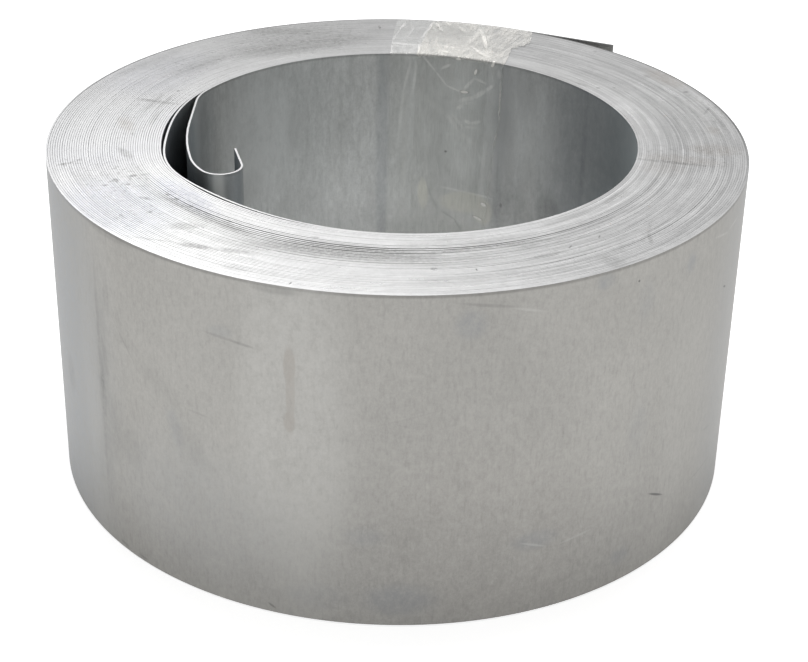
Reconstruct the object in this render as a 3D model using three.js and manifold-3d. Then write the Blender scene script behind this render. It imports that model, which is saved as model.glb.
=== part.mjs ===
// A coil of steel strip, standing on its end and held closed by two wraps of clear packing tape.
// Millimetres and degrees. +Z is the coil's axis, and the origin is the centre of its foot.
// Angles are counter-clockwise from +X, seen from above. From its inner end to its outer end the strip winds
// clockwise, so the angle falls as the turns are counted outwards.

import * as THREE from "three";
import { mergeVertices } from "three/addons/utils/BufferGeometryUtils.js";
import Module from "manifold-3d";

const wasm = await Module();
wasm.setup();

// The strip and its winding. The pitch is the strip and the air between two turns.
const STRIP_WIDTH = 150;
const STRIP_THICKNESS = 0.95;
const TURN_PITCH = 1.0;
const WHOLE_TURNS = 50;

// The bore: wound on a 200 mm mandrel, from which it has sprung open, off centre and a little oval.
const BORE_RADIUS = 100.85;
const BORE_OFFSET = 3.05;
const BORE_OFFSET_ANGLE = 48;
const BORE_OVAL = 0.93;
const BORE_OVAL_ANGLE = -18.5;
const BORE_BULGE = 3.25;
const BORE_BULGE_ANGLE = -159.5;
const BORE_BULGE_SPREAD = 14.2;

// The first turn hangs slack off the turn behind it, in two shallow waves that meet where it almost touches.
const SLACK_FROM = -122;
const SLACK_TOUCH = -155;
const SLACK_TO = -205;
const FIRST_WAVE_GAP = 0.8;
const SECOND_WAVE_GAP = 1.0;

// The inner end leaves the bore wall at the hook's root and is bent into a hook, as a path of
// straight runs and bends, all bending the same way.
const HOOK_ROOT_ANGLE = 150;
const ROOT_BEND = { radius: 29, turn: 29 };
const LEG_LENGTH = 26;
const LEG_SWEEP = { radius: 150, turn: 15 };
const CURL_START = { radius: 38, turn: 22 };
const CURL = { radius: 9, turn: 158 };
const LIP_LENGTH = 17;

// The outer end springs straight off the coil, from the tape's edge.
const TAIL_ROOT_ANGLE = 65;
const TAIL_LENGTH = 44.5;
const TAIL_SPRING_ANGLE = 1.5;

// How far each free end is carried back into the turn that it leaves.
const ROOTED_LENGTH = 1.5;

// The end faces show where one group of turns meets the next, as one fine spiral groove.
const TURNS_PER_GROOVE = 5;
const GROOVE_FIRST_TURN = 3;
const GROOVE_WIDTH = 0.7;
const GROOVE_DEPTH = 0.45;

// The tape: two wraps of film and their adhesive. It is narrow in the bore and fans out to the rim,
// where its edge stops a little short of the tail.
const TAPE_FILM = 0.1;
const TAPE_ADHESIVE = 0.05;
const TAPE_SHORT_OF_TAIL = 0.8;
const TAPE_BORE_ANGLES = [61, 92.5];
const TAPE_RIM_ANGLES = [TAIL_ROOT_ANGLE + TAPE_SHORT_OF_TAIL, 90.5];

// Facets of the turned faces, and of the bends.
const FACET_ANGLE = 5;
const BEND_FACET_ANGLE = 12;

const FULL_TURN = 360;
const TAPE_BUILD = TAPE_ADHESIVE + TAPE_FILM;
const TAIL_ROOT_TURNS = WHOLE_TURNS + (HOOK_ROOT_ANGLE - TAIL_ROOT_ANGLE) / FULL_TURN;
const RIM_TURNS = TAIL_ROOT_TURNS + 1;
const FACET_REACH = 1 / Math.cos(rad(FACET_ANGLE / 2));

function rad(degrees) {
  return THREE.MathUtils.degToRad(degrees);
}

function polar(radius, angle) {
  return new THREE.Vector2(radius * Math.cos(rad(angle)), radius * Math.sin(rad(angle)));
}

// The strip's angle, and its count of turns from the hook's root, follow from each other.
function turnsAt(angle) {
  return (HOOK_ROOT_ANGLE - angle) / FULL_TURN;
}

function angleAt(turns) {
  return HOOK_ROOT_ANGLE - FULL_TURN * turns;
}

// How far the bore's wall stands outside a circle.
function boreShape(angle) {
  const fromBulge = THREE.MathUtils.euclideanModulo(angle - BORE_BULGE_ANGLE + 180, FULL_TURN) - 180;
  return (
    BORE_OFFSET * Math.cos(rad(angle - BORE_OFFSET_ANGLE)) +
    BORE_OVAL * Math.cos(2 * rad(angle - BORE_OVAL_ANGLE)) +
    BORE_BULGE * Math.exp(-((fromBulge / BORE_BULGE_SPREAD) ** 2))
  );
}

// The radius of the strip's inner face. The bore's shape fades out towards the outer turns.
function innerFace(turns) {
  const fade = 1 - turns / RIM_TURNS;
  return BORE_RADIUS + TURN_PITCH * turns + fade * boreShape(angleAt(turns));
}

// How far the first turn hangs inwards, off the turn behind it.
function slack(angle) {
  const wave = (gap, from, to) => gap * Math.sin((Math.PI * (angle - from)) / (to - from)) ** 2;
  if (angle > SLACK_FROM || angle < SLACK_TO) return 0;
  if (angle > SLACK_TOUCH) return wave(FIRST_WAVE_GAP, SLACK_FROM, SLACK_TOUCH);
  return wave(SECOND_WAVE_GAP, SLACK_TOUCH, SLACK_TO);
}

// The angles of a run of facets, from a high angle down to a low one, with both ends.
function facetAngles(from, to) {
  const angles = [from];
  for (let a = Math.ceil(from / FACET_ANGLE - 1) * FACET_ANGLE; a > to; a -= FACET_ANGLE) angles.push(a);
  angles.push(to);
  return angles;
}

// The bore's outline, one turn of the first turn's inner face, drawn in by a film of the given build.
function boreOutline(build) {
  return facetAngles(angleAt(0), angleAt(1)).map((angle) =>
    polar(innerFace(turnsAt(angle)) - slack(angle) - build * FACET_REACH, angle),
  );
}

// The coil's outside, where one more turn would lie on the last, let out by a film of the given build.
function rimOutline(build) {
  return facetAngles(TAIL_ROOT_ANGLE, TAIL_ROOT_ANGLE - FULL_TURN).map((angle) =>
    polar(innerFace(turnsAt(angle) + WHOLE_TURNS) + build * FACET_REACH, angle),
  );
}

// The open slot behind the slack first turn.
function slackSlot() {
  const angles = facetAngles(SLACK_FROM, SLACK_TO);
  const wall = angles.map((angle) => polar(innerFace(turnsAt(angle) + 1), angle));
  const backOfTurn = angles.map((angle) =>
    polar(innerFace(turnsAt(angle)) - slack(angle) + STRIP_THICKNESS, angle),
  );
  return [...wall, ...backOfTurn.reverse()];
}

// A solid of a flat outline with holes, standing from one height to another. ExtrudeGeometry turns the
// holes the right way round only for an outline that runs counter-clockwise.
function prism(outline, holes, bottom, top) {
  const shape = new THREE.Shape(THREE.ShapeUtils.isClockWise(outline) ? [...outline].reverse() : outline);
  shape.holes = holes.map((hole) => new THREE.Path(hole));
  const geometry = new THREE.ExtrudeGeometry(shape, { depth: top - bottom, bevelEnabled: false });
  return solid(geometry.translate(0, 0, bottom));
}

// A geometry as a manifold-3d solid, and a solid as a geometry.
function solid(geometry) {
  const bare = new THREE.BufferGeometry();
  bare.setAttribute("position", geometry.getAttribute("position"));
  bare.setIndex(geometry.index);
  const merged = mergeVertices(bare, 1e-4);
  return new wasm.Manifold(
    new wasm.Mesh({
      numProp: 3,
      vertProperties: merged.getAttribute("position").array,
      triVerts: new Uint32Array(merged.index.array),
    }),
  );
}

function geometryOf(manifold) {
  const mesh = manifold.getMesh();
  const geometry = new THREE.BufferGeometry();
  geometry.setAttribute("position", new THREE.BufferAttribute(mesh.vertProperties, mesh.numProp));
  geometry.setIndex(new THREE.BufferAttribute(mesh.triVerts, 1));
  const flat = geometry.toNonIndexed();
  flat.computeVertexNormals();
  return flat;
}

// Strip bent on edge: its middle line is walked from a root, a heading and a list of runs and bends.
// A bend turns left. The line is then given the strip's thickness on both sides. It starts a little
// way back from the root, inside the turn that it carries on.
function bentStrip(root, heading, steps) {
  const start = { point: root.clone().add(polar(ROOTED_LENGTH, heading + 180)), heading };
  const line = [start, { point: root.clone(), heading }];
  for (const { length, radius, turn } of steps) {
    const pieces = length ? 1 : Math.ceil(turn / BEND_FACET_ANGLE);
    const facet = length ? 0 : turn / pieces;
    const stride = length || 2 * radius * Math.sin(rad(facet / 2));
    for (let i = 0; i < pieces; i += 1) {
      const last = line[line.length - 1];
      const direction = last.heading + facet / 2;
      line.push({ point: last.point.clone().add(polar(stride, direction)), heading: last.heading + facet });
    }
  }
  const side = (sign) =>
    line.map(({ point, heading: h }) => point.clone().add(polar((sign * STRIP_THICKNESS) / 2, h + 90)));
  return prism([...side(-1), ...side(1).reverse()], [], 0, STRIP_WIDTH);
}

function hook() {
  const middle = innerFace(0) + STRIP_THICKNESS / 2;
  return bentStrip(polar(middle, HOOK_ROOT_ANGLE), HOOK_ROOT_ANGLE + 90, [
    ROOT_BEND,
    { length: LEG_LENGTH },
    LEG_SWEEP,
    CURL_START,
    CURL,
    { length: LIP_LENGTH },
  ]);
}

function tail() {
  const middle = innerFace(RIM_TURNS) - STRIP_THICKNESS / 2;
  return bentStrip(polar(middle, TAIL_ROOT_ANGLE), TAIL_ROOT_ANGLE - 90 + TAIL_SPRING_ANGLE, [
    { length: TAIL_LENGTH },
  ]);
}

// The winding's line on an end face, counted in groups of turns.
class GrooveLine extends THREE.Curve {
  constructor(height) {
    super();
    this.height = height;
    this.revolutions = Math.floor((WHOLE_TURNS - GROOVE_FIRST_TURN) / TURNS_PER_GROOVE);
    this.steps = Math.round((this.revolutions * FULL_TURN) / FACET_ANGLE);
    this.arcLengthDivisions = this.steps * 4;
  }

  getPoint(t, target = new THREE.Vector3()) {
    const angle = -FULL_TURN * this.revolutions * t;
    const turns = GROOVE_FIRST_TURN + TURNS_PER_GROOVE * this.revolutions * t;
    const fade = 1 - turns / RIM_TURNS;
    const point = polar(BORE_RADIUS + TURN_PITCH * turns + fade * boreShape(angle), angle);
    return target.set(point.x, point.y, this.height);
  }
}

// A V-shaped cutter along the groove. The section's x runs down along Z, and its tip points into the coil.
function groove(height, into) {
  const path = new GrooveLine(height);
  const clear = GROOVE_DEPTH;
  const reach = (GROOVE_WIDTH / 2) * ((GROOVE_DEPTH + clear) / GROOVE_DEPTH);
  const section = new THREE.Shape([
    new THREE.Vector2(into * GROOVE_DEPTH, 0),
    new THREE.Vector2(-into * clear, reach * into),
    new THREE.Vector2(-into * clear, -reach * into),
  ]);
  return solid(new THREE.ExtrudeGeometry(section, { steps: path.steps, extrudePath: path }));
}

function stripCoil() {
  const ring = prism(rimOutline(0), [boreOutline(0), slackSlot()], 0, STRIP_WIDTH);
  return ring.add(hook()).add(tail()).subtract(groove(STRIP_WIDTH, 1)).subtract(groove(0, -1));
}

// The coil without its two free ends, grown by a film of the given build on every face.
function wrappedSection(build) {
  return prism(rimOutline(build), [boreOutline(build)], -build, STRIP_WIDTH + build);
}

// The plan of the tape: straight edges from the bore to the rim, run on past both.
function tapePlan() {
  const edge = (side) => {
    const bore = polar(BORE_RADIUS, TAPE_BORE_ANGLES[side]);
    const rim = polar(innerFace(RIM_TURNS), TAPE_RIM_ANGLES[side]);
    const past = (from, to) => to.clone().lerp(from, -1 / 4);
    return [past(rim, bore), past(bore, rim)];
  };
  const [right, left] = [edge(0), edge(1)];
  return [...right, ...left.reverse()];
}

function tapeBand() {
  const plan = prism(tapePlan(), [], -2 * TAPE_BUILD, STRIP_WIDTH + 2 * TAPE_BUILD);
  return wrappedSection(TAPE_BUILD).subtract(wrappedSection(TAPE_ADHESIVE)).intersect(plan);
}

function piece(name, manifold, finish) {
  const mesh = new THREE.Mesh(geometryOf(manifold), new THREE.MeshStandardMaterial(finish));
  mesh.name = name;
  return mesh;
}

const STEEL = { color: 0xa9aba8, roughness: 0.42, metalness: 0.9 };
const CLEAR_FILM = { color: 0xd9d8d0, roughness: 0.25, metalness: 0, transparent: true, opacity: 0.35 };

const coil = new THREE.Group();
coil.name = "steel_coil";
coil.position.z = TAPE_BUILD; // the tape passes under the coil's foot
coil.add(piece("strip_coil", stripCoil(), STEEL));
coil.add(piece("tape_band", tapeBand(), CLEAR_FILM));

export default coil;
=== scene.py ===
"""The looks of a coil of galvanised steel strip, standing on its end and held closed by clear packing tape.

Winding, hook, tail and tape are worked out in millimetres in the frame's own axes, and made in metres.
Angles are in degrees, counter-clockwise from +X as seen from above. The strip winds clockwise from its
inner end outwards, and a place along it is counted in turns from the root of the hook.
"""

import math

import bmesh
import bpy
import numpy as np
from mathutils import Matrix, Vector


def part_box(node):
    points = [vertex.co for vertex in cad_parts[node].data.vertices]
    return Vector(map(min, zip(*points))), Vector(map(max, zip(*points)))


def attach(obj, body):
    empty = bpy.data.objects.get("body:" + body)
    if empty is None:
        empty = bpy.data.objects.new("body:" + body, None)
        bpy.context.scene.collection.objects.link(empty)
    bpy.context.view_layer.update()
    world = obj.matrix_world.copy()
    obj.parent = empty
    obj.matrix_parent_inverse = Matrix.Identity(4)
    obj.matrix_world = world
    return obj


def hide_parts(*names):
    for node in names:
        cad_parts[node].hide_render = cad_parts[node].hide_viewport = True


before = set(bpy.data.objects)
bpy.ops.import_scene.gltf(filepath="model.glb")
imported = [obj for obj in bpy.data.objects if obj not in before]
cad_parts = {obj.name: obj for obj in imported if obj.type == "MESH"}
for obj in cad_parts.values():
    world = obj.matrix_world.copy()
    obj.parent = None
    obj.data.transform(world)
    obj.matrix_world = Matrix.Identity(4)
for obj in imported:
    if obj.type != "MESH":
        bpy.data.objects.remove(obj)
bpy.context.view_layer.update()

MM = 0.001
FULL_TURN = 360.0

# The strip. It is a little thinner than its pitch, so that each turn shows as a line on the coil's ends.
STRIP_THICKNESS = 0.93
EDGE_BEVEL = 0.08
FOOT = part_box("strip_coil")[0].z / MM
STRIP_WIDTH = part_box("strip_coil")[1].z / MM - FOOT
WHOLE_TURNS = 50
STEPS_PER_TURN = 216
SHARP_CORNER = 30.0

# The bore: wound on a 200 mm mandrel, from which it has sprung open, off centre and a little oval.
BORE_RADIUS = 100.85
BORE_OFFSET, BORE_OFFSET_ANGLE = 3.05, 48.0
BORE_OVAL, BORE_OVAL_ANGLE = 0.93, -18.5
BORE_BULGE, BORE_BULGE_ANGLE, BORE_BULGE_SPREAD = 3.25, -159.5, 14.2

# The slack first turn, in two shallow waves: from and to which angle, and how far off the turn behind.
SLACK_WAVES = [(-98.0, -152.0, 0.6), (-155.0, -205.0, 0.8)]

# The hook, as straight runs (length) and bends (radius, turn) from its root, all bending the same way.
HOOK_ROOT_ANGLE = 150.0
HOOK_RUNS = [(29.0, 29.0), (26.0,), (150.0, 15.0), (38.0, 22.0), (9.0, 158.0), (17.0,)]
BEND_STEP = 3.0

# The outer end springs straight off the coil.
TAIL_ROOT_ANGLE = 65.0
TAIL_LENGTH = 44.5
TAIL_SPRING_ANGLE = 1.5
TAIL_STEP = 4.0

TAIL_ROOT_TURNS = WHOLE_TURNS + (HOOK_ROOT_ANGLE - TAIL_ROOT_ANGLE) / FULL_TURN
RIM_TURNS = TAIL_ROOT_TURNS + 1


def angle_at(turns):
    return HOOK_ROOT_ANGLE - FULL_TURN * turns


def turns_at(angle):
    return (HOOK_ROOT_ANGLE - angle) / FULL_TURN


def wrapped(angle):
    """The angle between -180 and 180."""
    return (angle + 180) % FULL_TURN - 180


def unit(angle):
    """The plan direction at an angle. Works on arrays."""
    return np.stack([np.cos(np.radians(angle)), np.sin(np.radians(angle))], -1)


def bore_shape(angle):
    """How far the bore's wall stands outside a circle."""
    from_bulge = wrapped(angle - BORE_BULGE_ANGLE)
    return (
        BORE_OFFSET * np.cos(np.radians(angle - BORE_OFFSET_ANGLE))
        + BORE_OVAL * np.cos(2 * np.radians(angle - BORE_OVAL_ANGLE))
        + BORE_BULGE * np.exp(-((from_bulge / BORE_BULGE_SPREAD) ** 2))
    )


def even_face(turns):
    """The strip's inner face if all turns shared the slack evenly. The bore's shape fades out to the rim."""
    return BORE_RADIUS + turns + (1 - turns / RIM_TURNS) * bore_shape(angle_at(turns))


def slack(angle):
    """How far the first turn hangs inwards, off the turn behind it."""
    gap = np.zeros_like(angle)
    for start, end, depth in SLACK_WAVES:
        inside = (angle <= start) & (angle >= end)
        gap = np.where(inside, depth * np.sin(np.pi * (angle - start) / (end - start)) ** 2, gap)
    return gap


# Where the winding has opened between turns: a loose band in front, and single wide gaps.
# Each gap: the turn it lies outside, its middle angle, spread in degrees, and width in times an even one.
LOOSE_BAND_TURNS = (12.0, 23.0)
LOOSE_BAND_ANGLE, LOOSE_BAND_SPREAD = -104.0, 34.0
LOOSE_BAND_GAIN = 2.6
LOOSE_BAND_FADES = (0.7, 3.0)  # over how many turns the band sets in and fades out
WIDE_GAPS = [
    (0, -179, 15, 7),
    (0, -141, 9, 8),
    (12, -60, 34, 4),
    (12, -100, 30, 3),
    (12, -134, 14, 2),
    (13, -90, 30, 2.4),
    (14, -120, 20, 2),
    (15, -96, 24, 2),
    (23, -92, 22, 2),
    (28, -71, 13, 3),
    (33, -61, 9, 3),
    (36, -33, 18, 4),
    (39, -24, 12, 3),
    (45, -99, 10, 2),
    (20, 14, 18, 2),
    (24, 10, 18, 3),
    (34, 18, 16, 2),
    (2, -110, 30, 2),
]
STRAY_GAPS = 40
STRAY_SPREADS, STRAY_GAINS = (12, 45), (0.2, 0.9)
GAP_SEED = 7
SEAM_CLEAR = 12.0  # no gap is open this close to the hook's root angle, where the count of turns steps
ROUNDING = 1e-6


def bell(distance, spread):
    return np.exp(-((distance / spread) ** 2))


def gap_weights(turns, angle):
    """How the air between the turns is shared out, for gaps (rows) at angles (columns)."""
    low, high = LOOSE_BAND_TURNS
    fade_in, fade_out = LOOSE_BAND_FADES
    band = 1 / (1 + np.exp((low - turns) / fade_in)) / (1 + np.exp((turns - high) / fade_out))
    loose = LOOSE_BAND_GAIN * band * bell(wrapped(angle - LOOSE_BAND_ANGLE), LOOSE_BAND_SPREAD)
    rows = np.arange(len(turns))[:, None]
    random = np.random.default_rng(GAP_SEED)
    stray = []
    for _ in range(STRAY_GAPS):
        turn = random.integers(WHOLE_TURNS)
        middle = random.uniform(-180, 180)
        spread = random.uniform(*STRAY_SPREADS)
        stray.append((turn, middle, spread, random.uniform(*STRAY_GAINS)))
    single = np.zeros_like(loose)
    for turn, middle, spread, gain in WIDE_GAPS + stray:
        single += gain * (rows == turn) * bell(wrapped(angle - middle), spread)
    seam = np.clip(np.abs(wrapped(angle - HOOK_ROOT_ANGLE)) / SEAM_CLEAR, 0, 1)
    return 1 + (loose + single) * seam


def wound_faces():
    """The inner face's radius along the winding, from the hook's root to the tail's."""
    part = np.arange(STEPS_PER_TURN) / STEPS_PER_TURN
    angle = angle_at(part)
    last = np.where(part <= TAIL_ROOT_TURNS - WHOLE_TURNS + ROUNDING, WHOLE_TURNS, WHOLE_TURNS - 1)
    gap = np.arange(WHOLE_TURNS + 1)[:, None]
    halfway_out = gap + part + 1 / 2
    weights = gap_weights(halfway_out, angle)
    weights[np.broadcast_to(gap, weights.shape) >= last] = 0
    share = np.vstack([np.zeros_like(part), np.cumsum(weights, 0)[:-1]]) / weights.sum(0)
    inner = even_face(part)
    outer = even_face(part + last + 1) - STRIP_THICKNESS
    air = outer - inner - STRIP_THICKNESS * last
    faces = inner + STRIP_THICKNESS * gap + air * share
    faces[0] -= slack(angle)
    return faces.ravel()[: round(TAIL_ROOT_TURNS * STEPS_PER_TURN) + 1]


def walk(root, heading, runs, step):
    """Points along straight runs and left-hand bends from a root, and the heading at each."""
    points, headings = [np.array(root)], [heading]
    for run in runs:
        count = max(2, math.ceil(run[-1] / step))
        turn = run[1] / count if len(run) == 2 else 0.0
        stride = 2 * run[0] * math.sin(math.radians(turn / 2)) if turn else run[0] / count
        for _ in range(count):
            points.append(points[-1] + stride * unit(headings[-1] + turn / 2))
            headings.append(headings[-1] + turn)
    return np.array(points), np.array(headings)


# Neighbouring turns stand a little higher or lower than each other, and the loosened ones have sunk.
HEIGHT_SEED = 3
FINE_STAGGER, COARSE_STAGGER = 0.10, 0.22
FINE_STEPS_A_TURN, TURNS_A_COARSE_STEP = 1.37, 5.0
SUNK = 0.25


def stagger(turns):
    """How far the strip's foot stands above the lowest turn's, along the winding."""
    random = np.random.default_rng(HEIGHT_SEED)
    knots = np.arange(2 * WHOLE_TURNS)
    fine = np.interp(turns * FINE_STEPS_A_TURN, knots, random.uniform(0, FINE_STAGGER, knots.size))
    coarse = np.interp(turns / TURNS_A_COARSE_STEP, knots, random.uniform(0, COARSE_STAGGER, knots.size))
    low, high = LOOSE_BAND_TURNS
    outwards = bell(turns - (low + high) / 2, (high - low) / 2)
    around = bell(wrapped(angle_at(turns) - LOOSE_BAND_ANGLE), LOOSE_BAND_SPREAD)
    return fine + coarse + SUNK - SUNK * outwards * around


def strip_line():
    """The whole strip's middle line in plan, with its outward direction and its place in turns."""
    faces = wound_faces()
    turns = np.arange(len(faces)) / STEPS_PER_TURN
    wound = (faces + STRIP_THICKNESS / 2)[:, None] * unit(angle_at(turns))
    hook, hook_heading = walk(wound[0], HOOK_ROOT_ANGLE + 90, HOOK_RUNS, BEND_STEP)
    tail_heading = TAIL_ROOT_ANGLE - 90 + TAIL_SPRING_ANGLE
    tail, _ = walk(wound[-1], tail_heading, [(TAIL_LENGTH,)], TAIL_STEP)
    wound_out = unit(angle_at(turns))
    hook_out = unit(hook_heading - 90)
    tail_out = np.tile(unit(np.array(tail_heading + 90)), (len(tail), 1))
    line = np.vstack([hook[:0:-1], wound, tail[1:]])
    out = np.vstack([hook_out[:0:-1], wound_out, tail_out[1:]])
    count = np.concatenate([np.zeros(len(hook) - 1), turns, np.full(len(tail) - 1, turns[-1])])
    return line, out, count


def new_object(name, vertices, faces, materials):
    """A mesh object in the scene, from vertices in mm."""
    mesh = bpy.data.meshes.new(name)
    mesh.from_pydata((vertices * MM).tolist(), [], faces.tolist())
    for material in materials:
        mesh.materials.append(material)
    piece = bpy.data.objects.new(name, mesh)
    bpy.context.scene.collection.objects.link(piece)
    return piece


def loft(rings, endless=False):
    """Quads from each closed ring of points to the next, as (rings, sides, 4) indices."""
    count, sides = rings.shape[:2]
    index = np.arange(count * sides).reshape(count, sides)
    if endless:
        index = np.vstack([index, index[:1]])
    across = np.roll(index, -1, 1)
    return np.stack([index[:-1], index[1:], across[1:], across[:-1]], -1)


INNER_SIDE, OUTER_SIDE = 0, 4  # which sides of the strip's section are its rolled faces


def strip_section():
    """The strip's section as (outwards, up) corners with bevels between, from the inner face's foot."""
    half, bevel, width = STRIP_THICKNESS / 2, EDGE_BEVEL, STRIP_WIDTH
    return np.array([
        (-half, bevel), (-half, width - bevel), (bevel - half, width), (half - bevel, width),
        (half, width - bevel), (half, bevel), (half - bevel, 0), (bevel - half, 0),
    ])


def build_strip(bore_finish, wall_finish, edge_finish):
    """The whole strip as one bent, closed solid."""
    line, out, count = strip_line()
    section = strip_section()
    across, up = section.T
    plan = line[:, None] + out[:, None] * across[None, :, None]
    raised = stagger(count)
    height = FOOT + up[None, :] + (raised - raised.min())[:, None]
    rings = np.concatenate([plan, height[..., None]], -1)
    sides = rings.shape[1]
    quads = loft(rings)
    finishes = [edge_finish, bore_finish, wall_finish]
    piece = new_object("strip_coil_wound", rings.reshape(-1, 3), quads.reshape(-1, 4), finishes)
    mesh = piece.data
    slots = np.zeros(quads.shape[:2], np.int32)
    slots[:, [INNER_SIDE, OUTER_SIDE]] = finishes.index(bore_finish)
    slots[count[1:] > WHOLE_TURNS - 1, OUTER_SIDE] = finishes.index(wall_finish)
    mesh.polygons.foreach_set("material_index", slots.ravel())
    cap_ends(mesh, sides)
    mesh.shade_smooth()
    mesh.set_sharp_from_angle(angle=math.radians(SHARP_CORNER))
    turns = mesh.attributes.new("turns", "FLOAT", "POINT")
    turns.data.foreach_set("value", np.repeat(count, sides).astype(np.float32))
    return piece


def cap_ends(mesh, sides):
    """Closes the strip's two cut ends."""
    edit = bmesh.new()
    edit.from_mesh(mesh)
    edit.verts.ensure_lookup_table()
    edit.faces.new([edit.verts[i] for i in range(sides)])
    edit.faces.new([edit.verts[i] for i in range(len(edit.verts) - 1, len(edit.verts) - 1 - sides, -1)])
    bmesh.ops.recalc_face_normals(edit, faces=edit.faces)
    edit.to_mesh(mesh)
    edit.free()


PLAN = (1, 1, 0)  # leaves a place's height out


class Finish:
    """A material's node tree, with one short call for each kind of node."""

    def __init__(self, name):
        self.material = bpy.data.materials.new(name)
        self.material.use_nodes = True
        self.tree = self.material.node_tree
        self.shader = self.tree.nodes["Principled BSDF"]

    def node(self, kind, inputs=None, **settings):
        made = self.tree.nodes.new(kind)
        for name, value in settings.items():
            setattr(made, name, value)
        for name, value in (inputs or {}).items():
            self.feed(made.inputs[name], value)
        return made

    def feed(self, socket, value):
        if isinstance(value, bpy.types.NodeSocket):
            self.tree.links.new(value, socket)
        else:
            socket.default_value = value

    def set(self, **inputs):
        for name, value in inputs.items():
            self.feed(self.shader.inputs[name.replace("_", " ")], value)

    def math(self, operation, a, b=0.0, c=0.0):
        return self.node("ShaderNodeMath", {0: a, 1: b, 2: c}, operation=operation).outputs[0]

    def times(self, *factors):
        total = factors[0]
        for factor in factors[1:]:
            total = self.math("MULTIPLY", total, factor)
        return total

    def between(self, share, least):
        """The share from this least value up to 1."""
        return self.math("MULTIPLY_ADD", share, 1 - least, least)

    def line(self, value, low, high, to_low=0.0, to_high=1.0, **settings):
        """A straight change from one value to another, clamped."""
        inputs = {"Value": value, "From Min": low, "From Max": high, "To Min": to_low, "To Max": to_high}
        return self.node("ShaderNodeMapRange", inputs, **settings).outputs["Result"]

    def ramp(self, value, *change):
        """A smooth step from one value to another, clamped."""
        return self.line(value, *change, interpolation_type="SMOOTHSTEP")

    def mix(self, share, a, b, blend="MIX"):
        made = self.node("ShaderNodeMix", data_type="RGBA", blend_type=blend)
        self.feed(made.inputs[0], share)
        self.feed(made.inputs[6], a)
        self.feed(made.inputs[7], b)
        return made.outputs[2]

    def join(self, x, y, z=0.0):
        return self.node("ShaderNodeCombineXYZ", {0: x, 1: y, 2: z}).outputs[0]

    def scaled(self, vector, scale):
        return self.node("ShaderNodeVectorMath", {0: vector, 1: scale}, operation="MULTIPLY").outputs[0]

    def noise(self, vector, scale, detail=2.0, roughness=0.5, distortion=0.0):
        inputs = {
            "Vector": vector, "Scale": scale, "Detail": detail,
            "Roughness": roughness, "Distortion": distortion,
        }
        return self.node("ShaderNodeTexNoise", inputs).outputs[0]

    def mark(self, sheet, place, half_size, tilt=0.0, soft=1.0, strength=1.0):
        """A strength inside a soft ellipse on a flat sheet of coordinates, and 0 outside."""
        if tilt:
            turned = {"Vector": sheet, "Center": (*place, 0), "Angle": -math.radians(tilt)}
            sheet = self.node("ShaderNodeVectorRotate", turned, rotation_type="Z_AXIS").outputs[0]
        grow = np.divide(1, half_size)
        inputs = {0: sheet, 1: (*grow, 0), 2: (*(-grow * place), 0)}
        local = self.node("ShaderNodeVectorMath", inputs, operation="MULTIPLY_ADD").outputs[0]
        reach = self.node("ShaderNodeVectorMath", {0: local}, operation="LENGTH").outputs["Value"]
        return self.ramp(reach, 1 + soft / 2, 1 - soft / 2, 0.0, strength)

    def stroke(self, sheet, start, end, half_width, soft=1.0, strength=1.0):
        """A soft line between two places on a flat sheet, tapered at its ends."""
        across, along = np.subtract(end, start)
        half_size = (math.hypot(across, along) / 2, half_width)
        middle = (np.add(start, end) / 2).tolist()
        return self.mark(sheet, middle, half_size, math.degrees(math.atan2(along, across)), soft, strength)

    def cylinder(self, facing=0.0):
        """Object coordinates in mm, then angle in radians from a direction, radius and height in mm."""
        place = self.node("ShaderNodeTexCoord").outputs["Object"]
        place = self.scaled(place, (1 / MM,) * 3)
        inputs = {"Vector": place, "Angle": -math.radians(facing)}
        turned = self.node("ShaderNodeVectorRotate", inputs, rotation_type="Z_AXIS").outputs[0]
        split = self.node("ShaderNodeSeparateXYZ", {0: turned}).outputs
        angle = self.math("ARCTAN2", split[1], split[0])
        flat = self.scaled(place, PLAN)
        radius = self.node("ShaderNodeVectorMath", {0: flat}, operation="LENGTH").outputs["Value"]
        return place, angle, radius, split[2]


# The metal's own tones and those of its marks, in linear light. Some of them paint in light and shade.
OUTER_ZINC = (0.397, 0.389, 0.370, 1)
# The bore's zinc is the same metal as the outer wall's, made lighter: painted light for the dim bore.
INNER_ZINC_PAINTED_LIGHTER = (0.524, 0.531, 0.523, 1)
GRAZING_TINT = (0.8, 0.8, 0.8, 1)
SLIT = (0.506, 0.506, 0.506, 1)
DARK = (0.17, 0.17, 0.165, 1)
DEEP = (0.145, 0.165, 0.19, 1)
BROWN = (0.27, 0.225, 0.185, 1)
DRIP = (0.294, 0.245, 0.207, 1)
COOL = (0.387, 0.396, 0.404, 1)
BLUISH = (0.272, 0.290, 0.315, 1)
LAVENDER = (0.44, 0.446, 0.488, 1)
BRIGHT = (0.79, 0.798, 0.79, 1)
ICE = (0.478, 0.535, 0.556, 1)
PALE = (0.62, 0.62, 0.60, 1)
CREAM = (0.80, 0.775, 0.66, 1)
FOLD = (0.97, 0.96, 0.94, 1)
RUST = (0.42, 0.22, 0.07, 1)

# A rolled face is laid flat at its radius, from the angle at its middle.
WALL_FACE, BORE_FACE = (151.5, -90.0), (103.0, 90.0)
SOFT, CRISP = 1.0, 0.4
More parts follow.
